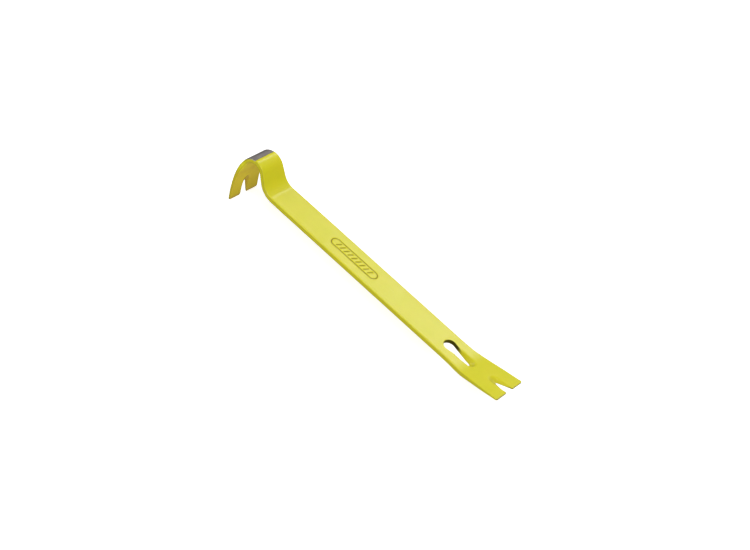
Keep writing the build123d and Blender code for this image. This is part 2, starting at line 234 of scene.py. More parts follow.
# ---------------------------------------------------------------------------
# outlines of (along, y)
# ---------------------------------------------------------------------------
def arc(centre, radius, start, turn, steps):
    angles = [start + turn * i / steps for i in range(steps + 1)]
    return [(centre[0] + radius * cos(a), centre[1] + radius * sin(a)) for a in angles]


def fillet(before, corner, after, radius, steps):
    """Points of an arc that rounds a corner."""
    corner = np.array(corner, float)
    to_before = np.array(before, float) - corner
    to_after = np.array(after, float) - corner
    to_before = to_before / np.linalg.norm(to_before)
    to_after = to_after / np.linalg.norm(to_after)
    half = acos(max(-1, min(1, float(to_before @ to_after)))) / 2
    reach = radius / tan(half)
    middle = to_before + to_after
    centre = corner + middle / np.linalg.norm(middle) * radius / sin(half)
    first = corner + to_before * reach - centre
    last = corner + to_after * reach - centre
    start = atan2(first[1], first[0])
    turn = (atan2(last[1], last[0]) - start + pi) % (2 * pi) - pi
    return arc(centre, radius, start, turn, steps)


def spaced(first, last, step):
    """Points between two places, ends left out."""
    count = max(1, int(round(dist(first, last) / step)))
    return [(first[0] + (last[0] - first[0]) * i / count,
             first[1] + (last[1] - first[1]) * i / count) for i in range(1, count)]


def claw_end(at_hook):
    """One claw's end, in order of falling y, round the notch from the +y prong to the -y one."""
    half = float(half_width(TOTAL if at_hook else 0.0))
    root_depth = NOTCH_DEPTH - NOTCH_ROOT_R
    opening = NOTCH_MOUTH - NOTCH_ROOT_R
    lean = asin(opening / hypot(root_depth, opening))
    tangent = (root_depth + NOTCH_ROOT_R * sin(lean), NOTCH_ROOT_R * cos(lean))
    mouth = tangent[1] + tangent[0] * tan(lean)
    prong = [(depth, half) for depth in (3.6, 3.1, 2.6)]
    prong += fillet((6.0, half), (0, half), (0, mouth), PRONG_CORNER_R, steps=12)
    prong += spaced(prong[-1], (0, mouth + 1.0), NOTCH_STEP)
    prong += fillet((0, half), (0, mouth), tangent, MOUTH_CORNER_R, steps=8)
    prong += spaced(prong[-1], tangent, NOTCH_STEP)
    start = pi / 2 - lean
    root = arc((root_depth, 0), NOTCH_ROOT_R, start, -2 * start, steps=12)
    points = prong + root + [(depth, -y) for depth, y in reversed(prong)]
    return [((TOTAL - depth) if at_hook else depth, y) for depth, y in points]


def long_side(sign):
    points, along = [], 4.2
    while along < TOTAL - 4.0:
        points.append((along, sign * float(half_width(along))))
        on_shank = SHANK_START + 18 < along < SHANK_END - 4
        along += 1.5 if on_shank else 0.85
    return points


def teardrop():
    lean = asin((SLOT_HEAD_R - SLOT_NECK_R) / (SLOT_HEAD_AT - SLOT_NECK_AT))
    start = pi / 2 + lean
    neck = arc((SLOT_NECK_AT, 0), SLOT_NECK_R, -start, -(1.5 * pi - lean) + start, steps=12)
    points = arc((SLOT_HEAD_AT, 0), SLOT_HEAD_R, start, -2 * start, steps=44)
    points += spaced(points[-1], neck[0], NOTCH_STEP)
    points += neck
    points += spaced(points[-1], points[0], NOTCH_STEP)
    return np.array(points)


def capsule(centre, length, width, angle, step):
    """Outline of a straight groove with round ends, centred on y = 0."""
    radius, half = width / 2, (length - width) / 2
    steps = max(6, int(pi * radius / step))
    points = []
    for side in (1, -1):
        for i in range(steps + 1):
            a = radians(-90 * side + 180 * i / steps)
            points.append((side * half + radius * cos(a), radius * sin(a)))
        points += spaced(points[-1], (-side * half, side * radius), step)
    cosine, sine = cos(radians(angle)), sin(radians(angle))
    return np.array([(centre + x * cosine - y * sine, x * sine + y * cosine)
                     for x, y in points])


def stamp_outlines():
    """Outer and inner outline of the capsule line, then the slanted bars."""
    inset = 2 * STAMP_LINE
    shapes = [capsule(STAMP_AT, STAMP_L, STAMP_H, angle=0, step=0.9),
              capsule(STAMP_AT, STAMP_L - inset, STAMP_H - inset, angle=0, step=0.9)]
    for i in range(BARS):
        # along runs against x, so a slant in x turns the other way here
        centre = STAMP_AT + (i - (BARS - 1) / 2) * BAR_PITCH
        shapes.append(capsule(centre, BAR_L, STAMP_LINE, angle=90 + BAR_SLANT, step=0.45))
    return shapes


def strip_outline():
    """The bare strip: nearly straight ends that waver a little, short of the rounded edges."""
    def wave(at, scale, seed):
        return noise.noise(Vector((at * scale, seed, 0)))

    first = CREST + HEEL_R * radians(STRIP_A)
    last = CREST + HEEL_R * radians(STRIP_B)
    half = HEEL_HALF - 0.25
    across = np.linspace(-half, half, 46)
    points = []
    for y in across:
        points.append((last + 0.30 * wave(y, 0.16, 7.1) + 0.12 * wave(y, 0.9, 3.3), y))
    for along in np.linspace(last, first, 24)[1:-1]:
        points.append((along, half + 0.06 * wave(along, 0.7, 1.7)))
    for y in across[::-1]:
        points.append((first + 0.26 * wave(y, 0.15, 11.4) + 0.10 * wave(y, 1.1, 5.9), y))
    for along in np.linspace(first, last, 24)[1:-1]:
        points.append((along, -half + 0.06 * wave(along, 0.7, 9.2)))
    return np.array(points)


OUTLINE = np.array(long_side(1) + claw_end(True) + list(reversed(long_side(-1)))
                   + list(reversed(claw_end(False))))
SLOT = teardrop()
STAMP = stamp_outlines()
STRIP = strip_outline()


def nearest(points, outline, values):
    """Distance from each point to a closed outline, and the outline's value there."""
    sides = np.roll(outline, -1, axis=0) - outline
    squared = (sides**2).sum(1) + 1e-12
    next_values = np.roll(values, -1)
    distances, found = np.empty(len(points)), np.empty(len(points))
    block_size = 2000  # keeps the tables of point against side small
    for start in range(0, len(points), block_size):
        block = slice(start, start + block_size)
        offset = points[block, None, :] - outline[None]
        share = np.clip((offset * sides[None]).sum(2) / squared, 0, 1)
        apart = ((offset - share[..., None] * sides[None])**2).sum(2)
        closest = apart.argmin(1)
        row = np.arange(len(apart))
        share = share[row, closest]
        distances[block] = np.sqrt(apart[row, closest])
        found[block] = values[closest] * (1 - share) + next_values[closest] * share
    return distances, found


def distance(points, outline):
    return nearest(points, outline, np.zeros(len(outline)))[0]


def inside(points, outline):
    """True for each point inside a closed outline."""
    x, y = points[:, 0], points[:, 1]
    result = np.zeros(len(points), bool)
    for (x0, y0), (x1, y1) in zip(outline, np.roll(outline, -1, axis=0)):
        if y0 != y1:
            result ^= ((y0 > y) != (y1 > y)) & (x < (x1 - x0) * (y - y0) / (y1 - y0) + x0)
    return result


def on_plate(points):
    return inside(points, OUTLINE) & ~inside(points, SLOT)


def edge_radius(outline):
    """How far each point of the outer outline is rounded, crisp at the tips and notches."""
    along, y = outline[:, 0], np.abs(outline[:, 1])
    on_side = smooth((y - (half_width(along) - 1.5)) / 1.0)
    side = np.minimum(SIDE_ROUND, 0.30 * thickness(along) - 0.06)
    side = CRISP_ROUND + (side - CRISP_ROUND) * smooth((from_tip(along) - 0.5) / 5.0)
    return CRISP_ROUND + (np.maximum(side, CRISP_ROUND) - CRISP_ROUND) * on_side


OUTLINE_RADIUS = edge_radius(OUTLINE)
SLOT_RADIUS = np.full(len(SLOT), SLOT_ROUND)


# ---------------------------------------------------------------------------
# how far each face is cut back
# ---------------------------------------------------------------------------
def ramp(x, ease):
    """x where it is positive, with its corner eased."""
    return np.where(x < -ease, 0.0, np.where(x > ease, x, (x + ease)**2 / (4 * ease)))


def within_u(past, y, half):
    """Distance inside the border of a U; past is the distance beyond its round end's centre."""
    return np.where(past < 0, half - np.abs(y), half - np.hypot(past, y))


def bevel(depth, within, gap, fade):
    """Scooped cut from its border (within = 0) to an edge (gap = 0), faded where narrow."""
    x = ramp(within, ease=0.35)
    share = np.clip(x / (x + gap + 1e-6), 0, 1)
    scoop = 1 - (1 - share)**1.6
    return depth * smooth((x + gap) / fade) * scoop * (x > 0)


def notch_bevel(tip_distance, y, gap, wall):
    within = within_u(tip_distance - NOTCH_BEVEL_CENTRE, y, NOTCH_BEVEL_HALF)
    return bevel(np.maximum(wall - NOTCH_LAND, 0), within, gap, fade=1.7)


def slot_bevel(along, y, gap):
    within = within_u(SLOT_BEVEL_CENTRE - along, y, SLOT_BEVEL_HALF)
    # the slot's round head is left square
    within = np.where(along > SLOT_HEAD_AT - 4.5, -1.0, within)
    return bevel(THICK - SLOT_LAND, within, gap, fade=2.3)


def rolled(gap, radius):
    """Depth of a rounded edge."""
    share = np.clip((radius - gap) / radius, 0, 1)
    return radius * (1 - np.sqrt(np.maximum(1 - share * share, 0)))


def stamp_groove(points):
    """1 in the stamped pattern and 0 outside it, with eased walls."""
    groove = np.zeros(len(points))
    box = ((np.abs(points[:, 0] - STAMP_AT) < STAMP_L / 2 + 2)
           & (np.abs(points[:, 1]) < STAMP_H / 2 + 2))
    boxed = points[box]
    signed = []
    for shape in STAMP:
        gap = distance(boxed, shape)
        signed.append(np.where(inside(boxed, shape), -gap, gap))
    outer, inner, *bars = signed
    gap = np.minimum.reduce([np.maximum(outer, -inner), *bars])
    groove[box] = smooth((STAMP_EASE - gap) / (2 * STAMP_EASE))
    return groove


def cut_fields(points):
    """Depths cut from the top and bottom faces, wall thickness, and masks for the materials."""
    along, y = points.T
    outline_gap, outline_radius = nearest(points, OUTLINE, OUTLINE_RADIUS)
    slot_gap, slot_radius = nearest(points, SLOT, SLOT_RADIUS)
    wall = thickness(along)
    # the straight claw is bevelled on the top face, the hook on the bottom one
    top = np.maximum(slot_bevel(along, y, slot_gap), notch_bevel(along, y, outline_gap, wall))
    ground = ramp(HOOK_BEVEL - (TOTAL - along), ease=0.2)
    bottom = np.maximum(notch_bevel(TOTAL - along, y, outline_gap, wall),
                        (HOOK_TIP - HOOK_EDGE) * ground / HOOK_BEVEL)
    # never leave less than a thin wall
    over = np.maximum(top + bottom - (wall - LEAST_WALL), 0)
    top, bottom = top - over * (top > bottom), bottom - over * (bottom >= top)
    roll = np.maximum(rolled(outline_gap, outline_radius), rolled(slot_gap, slot_radius))
    groove = stamp_groove(points)
    edge = np.maximum(1 - outline_gap / 2.6, 1 - slot_gap / 1.6)
    return dict(top=top + roll + STAMP_DEPTH * groove, bottom=bottom + roll, wall=wall,
                groove=groove, edge=np.clip(edge, 0, 1),
                cut=np.clip(np.maximum(top, bottom) / 1.5, 0, 1))


# ---------------------------------------------------------------------------
# triangles that cover the outline, dense where the shape turns
# ---------------------------------------------------------------------------
class Cloud:
    """Points kept apart by a least distance, looked up in cells of one millimetre."""

    def __init__(self):
        self.points, self.cells = [], {}

    def place(self, x, y):
        self.cells.setdefault((int(x // 1.0), int(y // 1.0)), []).append((x, y))
        self.points.append((x, y))

    def place_ring(self, outline):
        """Place a closed outline whole and return its edges."""
        base, count = len(self.points), len(outline)
        for x, y in outline:
            self.place(float(x), float(y))
        return [(base + i, base + (i + 1) % count) for i in range(count)]

    def add(self, point, gap):
        """Place a point unless another is nearer than gap."""
        x, y = float(point[0]), float(point[1])
        column, row = int(x // 1.0), int(y // 1.0)
        reach = int(gap) + 1
        for i in range(column - reach, column + reach + 1):
            for j in range(row - reach, row + reach + 1):
                for other in self.cells.get((i, j), ()):
                    if (other[0] - x)**2 + (other[1] - y)**2 < gap * gap:
                        return
        self.place(x, y)

    def add_all(self, points, gap):
        for point in points:
            self.add(point, gap)

    def add_clear(self, points, gap, clear):
        """Add the points on the plate that lie further than clear from its edges."""
        points = np.array(points)
        good = (on_plate(points) & (distance(points, OUTLINE) > clear)
                & (distance(points, SLOT) > clear))
        self.add_all(points[good], gap)


def offset_points(outline, amount):
    """The outline moved by amount along its left normal; amount may vary."""
    tangent = np.roll(outline, -1, axis=0) - np.roll(outline, 1, axis=0)
    tangent /= np.linalg.norm(tangent, axis=1)[:, None] + 1e-12
    normal = np.stack([-tangent[:, 1], tangent[:, 0]], 1)
    return outline + normal * np.asarray(amount).reshape(-1, 1)


def turning(outline):
    """1 for an anticlockwise outline, -1 for a clockwise one."""
    x, y = outline.T
    return 1 if (x * np.roll(y, -1) - np.roll(x, -1) * y).sum() > 0 else -1


def add_edge_rows(cloud):
    """Rows that follow the edges over their rounding and a little beyond."""
    for outline, radius, side in ((OUTLINE, OUTLINE_RADIUS, 1), (SLOT, SLOT_RADIUS, -1)):
        inward = side * turning(outline)
        for share in (0.076, 0.293, 0.617, 1.0, 1.75):
            row = offset_points(outline, inward * radius * share)
            good = on_plate(row) & (distance(row, outline) > 0.93 * radius * share)
            for point, point_radius in zip(row[good], radius[good]):
                cloud.add(point, max(0.055, 0.20 * point_radius * share + 0.02))


def u_border(centre, half, far):
    """A bevel's border: its round end, then its two sides as far as far."""
    away = 1 if far > centre else -1
    angles = [pi / 2 + pi * i / 24 for i in range(25)]
    points = [(centre + away * half * cos(a), half * sin(a)) for a in angles]
    along = centre
    while abs(along - far) > 0.8:
        along += 0.8 * away
        points += [(along, half), (along, -half)]
    return points


def add_bevel_rows(cloud):
    notch = u_border(NOTCH_BEVEL_CENTRE, NOTCH_BEVEL_HALF, far=1.5)
    borders = (u_border(SLOT_BEVEL_CENTRE, SLOT_BEVEL_HALF, far=72.0) + notch
               + [(TOTAL - along, y) for along, y in notch])
    rows = [(along, y * (1 + nudge / max(abs(y), 1.0)))
            for along, y in borders for nudge in (0.0, 0.4, -0.4)]
    cloud.add_clear(rows, gap=0.28, clear=0.3)
    # straight rows across both tips, at the border of the hook's end bevel
    rows = [(along, y) for depth in (3.4, 3.6, 3.8) for y in np.arange(-22, 22.1, 0.8)
            for along in (depth, TOTAL - depth) if abs(y) < half_width(along) - 0.7]
    cloud.add_clear(rows, gap=0.19, clear=0.45)


def add_grid(cloud):
    """A staggered grid that fills the plate between the rows."""
    side, stamp_x, stamp_y = 23.0, STAMP_L / 2 + 1, STAMP_H / 2 + 0.8
    # first along, last along, step, half width
    regions = [
        (STAMP_AT - stamp_x, STAMP_AT + stamp_x, 0.8, stamp_y),
        (0.3, 30.0, 0.85, side),
        (30.0, 90.0, 1.0, side),
        (90.0, SHANK_END - 2, 1.9, side),
        (SHANK_END - 2, TOTAL - 30, 1.0, side),
        (TOTAL - 30, TOTAL - 0.3, 0.85, side),
    ]
    grid = []
    for along, last, step, half in regions:
        row = 0
        while along < last:
            y = -half + (step / 2 if row % 2 else 0)
            while y < half:
                grid.append((along, y, step))
                y += step
            along += step * 0.87
            row += 1
    grid = np.array(grid)
    grid = grid[on_plate(grid[:, :2])]
    outline_gap, outline_radius = nearest(grid[:, :2], OUTLINE, OUTLINE_RADIUS)
    slot_gap, slot_radius = nearest(grid[:, :2], SLOT, SLOT_RADIUS)
    good = ((outline_gap > outline_radius * 1.75 + 0.35)
            & (slot_gap > slot_radius * 1.75 + 0.3))
    for along, y, step in grid[good]:
        cloud.add((along, y), step * 0.62)


def triangulate():
    """Flat points and triangles of the plate."""
    cloud = Cloud()
    border_edges = cloud.place_ring(OUTLINE) + cloud.place_ring(SLOT)
    add_edge_rows(cloud)
    strip_edges = cloud.place_ring(STRIP)
    for amount in (0.35, -0.35):
        cloud.add_all(offset_points(STRIP, amount), gap=0.3)
    for shape in STAMP:
        for amount in (-STAMP_EASE, -0.08, 0.08, STAMP_EASE):
            cloud.add_all(offset_points(shape, amount), gap=0.1)
    add_bevel_rows(cloud)
    add_grid(cloud)

    found, _, faces, _, _, _ = geometry.delaunay_2d_cdt(
        [Vector(p) for p in cloud.points], strip_edges + border_edges, [], 0, 1e-5)
    points = np.array([(v.x, v.y) for v in found])
    faces = np.array([tuple(f) for f in faces if len(f) == 3], int)
    faces = faces[on_plate(points[faces].mean(1))]
    # wind every triangle the same way and drop the slivers
    first, second, third = (points[faces[:, i]] for i in range(3))
    area = ((second[:, 0] - first[:, 0]) * (third[:, 1] - first[:, 1])
            - (third[:, 0] - first[:, 0]) * (second[:, 1] - first[:, 1]))
    faces[area < 0] = faces[area < 0][:, ::-1]
    faces = faces[np.abs(area) > 1e-7]
    used = np.unique(faces)
    return points[used], renumber(faces, used, len(points))


def renumber(faces, used, count):
    """Faces with their vertices counted within used, out of count before."""
    numbers = -np.ones(count, int)
    numbers[used] = np.arange(len(used))
    return numbers[faces]


# ---------------------------------------------------------------------------
# bend the plate: top, bottom and the walls between them
# ---------------------------------------------------------------------------
WALL_ROWS = 4


def open_edges(faces):
    """Directed edges that only one face uses."""
    directed = {}
    for a, b, c in faces:
        for edge in ((a, b), (b, c), (c, a)):
            directed[edge] = True
    return [(a, b) for a, b in directed if (b, a) not in directed]


def closed_shell(triangles, fields):
    """For each vertex its flat point and depth below the top surface, and the faces."""
    count = len(fields["top"])
    top, bottom = fields["top"], fields["wall"] - fields["bottom"]
    following = dict(open_edges(triangles))
    rim = np.array(sorted(following))
    index, depth, rows = [np.arange(count)] * 2, [top, bottom], [rim]
    for row in range(1, WALL_ROWS):
        index.append(rim)
        depth.append(top[rim] + (bottom[rim] - top[rim]) * (row / WALL_ROWS))
        rows.append(2 * count + (row - 1) * len(rim) + np.arange(len(rim)))
    rows.append(rim + count)
    next_column = np.searchsorted(rim, [following[a] for a in rim])
    walls = []
    for column, beside in enumerate(next_column):
        for upper, lower in zip(rows, rows[1:]):
            walls += [(upper[column], upper[beside], lower[beside]),
                      (upper[column], lower[beside], lower[column])]
    # along and y lie along -x and +y, so the top's triangles are reversed to face out
    faces = np.concatenate([triangles[:, ::-1], triangles + count, np.array(walls, int)])
    return np.concatenate(index), np.concatenate(depth), faces


def bent(places, depth):
    """Places of (along, y) at a depth below the top surface, in x, y and z."""
    along, y = places.T
    heading = np.interp(along, PROFILE_ALONG, PROFILE_HEADING)
    normal = np.stack([np.sin(heading), np.zeros(len(along)), -np.cos(heading)], 1)
    z = np.interp(along, PROFILE_ALONG, PROFILE_Z)
    return np.stack([x_at(along), y, z], 1) - normal * depth[:, None]


def material_masks(places, index, fields):
    """Masks of edges, stamping, bevels, and of painted shade on the walls of the slot and
    notches and on the prongs' end faces.
    """
    along, y = places.T
    slot_gap, outline_gap = distance(places, SLOT), distance(places, OUTLINE)
    in_mouth = (from_tip(along) < 19) & (np.abs(y) < 6.2)
    # painted shade on the slot's walls by its round head, fainter on the notches' walls
    painted_wall_shade = np.maximum((slot_gap < 0.05) * smooth((along - 66) / 8),
                       0.45 * ((outline_gap < 0.05) & in_mouth))
    # painted shade on the prongs' end faces
    ends = ((outline_gap < 0.02) & (from_tip(along) < 1.2)).astype(float)
    edge, groove, cut = fields["edge"], fields["groove"], fields["cut"]
    on_wall = len(index) - 2 * len(places)
    return {
        "edge": np.concatenate([edge, edge, np.full(on_wall, 0.55)]),
        "groove": np.concatenate([groove, np.zeros(len(places) + on_wall)]),
        "cut": np.concatenate([cut * (along < TOTAL / 2), cut * (along > TOTAL / 2),
                               np.zeros(on_wall)]),
        "painted_wall_shade": painted_wall_shade[index],
        "ends": ends[index],
    }


def vertex_normals(points, faces):
    """Normals weighted by the faces' corner angles."""
    corners = [points[faces[:, i]] for i in range(3)]
    face_normal = np.cross(corners[1] - corners[0], corners[2] - corners[0])
    face_normal /= np.linalg.norm(face_normal, axis=1)[:, None] + 1e-15
    result = np.zeros_like(points)
    for i in range(3):
        ahead = corners[(i + 1) % 3] - corners[i]
        behind = corners[(i + 2) % 3] - corners[i]
        lengths = np.linalg.norm(ahead, axis=1) * np.linalg.norm(behind, axis=1)
        cosine = (ahead * behind).sum(1) / (lengths + 1e-15)
        angle = np.arccos(np.clip(cosine, -1, 1))
        np.add.at(result, faces[:, i], face_normal * angle[:, None])
    return result / (np.linalg.norm(result, axis=1)[:, None] + 1e-15)


def signed_volume(points, faces):
    first, second, third = (points[faces[:, i]] for i in range(3))
    return float(np.einsum("ij,ij->i", first, np.cross(second, third)).sum() / 6)


def forging_swell(x, y, z):
    """Slight unevenness of the forging, under a tenth of a millimetre."""
    return (0.055 * noise.noise(Vector((x * 0.035, y * 0.045, z * 0.035)))
            + 0.030 * noise.noise(Vector((x * 0.11 + 9, y * 0.11, z * 0.11)))
            + 0.010 * noise.noise(Vector((x * 0.42, y * 0.42 + 4, z * 0.42))))


def add_mesh(name, points, faces, attributes):
    """A smooth triangle mesh with point attributes, from millimetres."""
    mesh = bpy.data.meshes.new(name)
    mesh.vertices.add(len(points))
    mesh.vertices.foreach_set("co", (points * MM).astype(np.float32).ravel())
    mesh.loops.add(len(faces) * 3)
    mesh.loops.foreach_set("vertex_index", faces.astype(np.int32).ravel())
    mesh.polygons.add(len(faces))
    starts = np.arange(0, len(faces) * 3, 3, dtype=np.int32)
    mesh.polygons.foreach_set("loop_start", starts)
    mesh.update(calc_edges=True)
    mesh.validate()
    mesh.polygons.foreach_set("use_smooth", np.ones(len(mesh.polygons), bool))
    for key, values in attributes.items():
        kind, field = ("FLOAT", "value") if values.ndim == 1 else ("FLOAT_VECTOR", "vector")
        attribute = mesh.attributes.new(key, kind, "POINT")
        attribute.data.foreach_set(field, values.astype(np.float32).ravel())
    obj = bpy.data.objects.new(name, mesh)
    bpy.context.scene.collection.objects.link(obj)
    return obj


def add_enamel(surface, normals, faces, bare, attributes, feather):
    """The coat: an outer and an inner skin, joined by a lip round the bare strip."""
    outer = surface - normals * (feather * (COAT - 0.07))[:, None]
    inner = surface - normals * COAT
    count = len(surface)
    shown = faces[~bare]
    lip = []
    for a, b in open_edges(shown):
        lip += [(b, a, a + count), (b, a + count, b + count)]
    points = np.concatenate([outer, inner])
    coat = np.concatenate([shown, shown[:, ::-1] + count, np.array(lip, int)])
    used = np.unique(coat)
    both = {key: np.concatenate([values, values])[used] for key, values in attributes.items()}
    return add_mesh("enamel_skin", points[used], renumber(coat, used, len(points)), both)


def add_steel(surface, normals, faces, bare, attributes, tip_distance, to_strip):
    """The bar: a hair below the coat's inner skin, and raised where it is bare."""
    bare_points = np.zeros(len(surface), bool)
    bare_points[np.unique(faces[bare])] = True
    depth = np.where(bare_points & (to_strip > 0.3),
                     COAT - 0.12 * smooth((to_strip - 0.3) / 1.5), COAT)
    at_tip = smooth((9.0 - tip_distance) / 3.0)
    points = surface - normals * (depth + 0.015 + 0.03 * at_tip)[:, None]
    return add_mesh("steel_bar", points, faces, attributes)


def build_bar():
    """The enamel skin and the steel bar."""
    flat, triangles = triangulate()
    fields = cut_fields(flat)
    index, depth, faces = closed_shell(triangles, fields)
    on_strip = inside(flat[triangles].mean(1), STRIP)
    bare = np.concatenate([on_strip, np.zeros(len(faces) - len(on_strip), bool)])
    places = flat[index]
    surface = bent(places, depth)
    if signed_volume(surface, faces) < 0:
        faces = faces[:, ::-1]
    normals = vertex_normals(surface, faces)
    swell = np.array([forging_swell(x, y, z) for x, y, z in surface])
    surface = surface + normals * (swell - 0.02)[:, None]

    # distance to the strip's border on the top face; anything large elsewhere
    along = places[:, 0]
    to_strip = np.full(len(places), 50.0)
    strip_middle = CREST + HEEL_R * radians((STRIP_A + STRIP_B) / 2)
    close = (np.arange(len(places)) < len(flat)) & (np.abs(along - strip_middle) < 16)
    to_strip[close] = distance(places[close], STRIP)
    # the coat thins towards the bare strip
    feather = smooth(1 - to_strip / 0.75)

    tip_distance = from_tip(along)
    masks = material_masks(flat, index, fields)
    run = np.stack([along, places[:, 1], np.zeros(len(places))], 1)
    enamel_attributes = {
        "edge": masks["edge"], "groove": masks["groove"], "cut": masks["cut"],
        "strip": feather, "painted_wall_shade": masks["painted_wall_shade"], "ends": masks["ends"],
        "hook": smooth((along - (TOTAL - 45)) / 8),
        "tip": np.clip(1 - tip_distance / 5.0, 0, 1),
        "run": run,
    }
    steel_attributes = {"run": run, "edge": masks["edge"],
                        "strip": np.clip(1 - to_strip / 2.0, 0, 1)}
    enamel = add_enamel(surface, normals, faces, bare, enamel_attributes, feather)
    steel = add_steel(surface, normals, faces, bare, steel_attributes, tip_distance, to_strip)
    return enamel, steel


# ---------------------------------------------------------------------------
# materials
# ---------------------------------------------------------------------------
class Nodes:
    """Short way to build a node tree."""

    def __init__(self, tree):
        self.tree = tree
        tree.nodes.clear()

    def new(self, kind, inputs, **settings):
        node = self.tree.nodes.new(kind)
        for key, value in settings.items():
            setattr(node, key, value)
        for key, value in inputs.items():
            if isinstance(value, bpy.types.NodeSocket):
                self.tree.links.new(value, node.inputs[key])
            else:
                node.inputs[key].default_value = value
        return node

    def math(self, operation, a, b=0.0):
        return self.new("ShaderNodeMath", {0: a, 1: b}, operation=operation).outputs[0]

    def times(self, a, b):
        return self.math("MULTIPLY", a, b)

    def plus(self, a, b):
        return self.math("ADD", a, b)

    def minus(self, a, b):
        return self.math("SUBTRACT", a, b)

    def dot(self, vector, other):
        return self.new("ShaderNodeVectorMath", {0: vector, 1: other},
                        operation="DOT_PRODUCT").outputs["Value"]

    def stretch(self, vector, scale):
        return self.new("ShaderNodeVectorMath", {0: vector, 1: scale},
                        operation="MULTIPLY").outputs[0]

    def noise(self, vector, scale, detail=3.0, rough=0.55):
        return self.new("ShaderNodeTexNoise", {"Vector": vector, "Scale": scale,
                                               "Detail": detail, "Roughness": rough}
                        ).outputs["Fac"]

    def span(self, value, reads, gives=(0, 1)):
        """Map one range on to another, clamped."""
        return self.new("ShaderNodeMapRange",
                        {"Value": value, "From Min": reads[0], "From Max": reads[1],
                         "To Min": gives[0], "To Max": gives[1]}, clamp=True).outputs[0]

    def mix(self, factor, a, b):
        return self.new("ShaderNodeMix", {"Factor": factor, 6: a, 7: b},
                        data_type="RGBA").outputs[2]

    def bump(self, height, strength, metres):
        return self.new("ShaderNodeBump", {"Strength": strength, "Distance": metres,
                                           "Height": height}).outputs[0]

    def principled(self, inputs):
        return self.new("ShaderNodeBsdfPrincipled", inputs).outputs[0]

    def coordinates(self, output):
        return self.new("ShaderNodeTexCoord", {}).outputs[output]

    def attribute(self, name, output="Fac"):
        return self.new("ShaderNodeAttribute", {}, attribute_name=name).outputs[output]


def new_material(name):
    material = bpy.data.materials.new(name)
    material.use_nodes = True
    return material, Nodes(material.node_tree)


def rgb(red, green, blue):
    return (red, green, blue, 1.0)


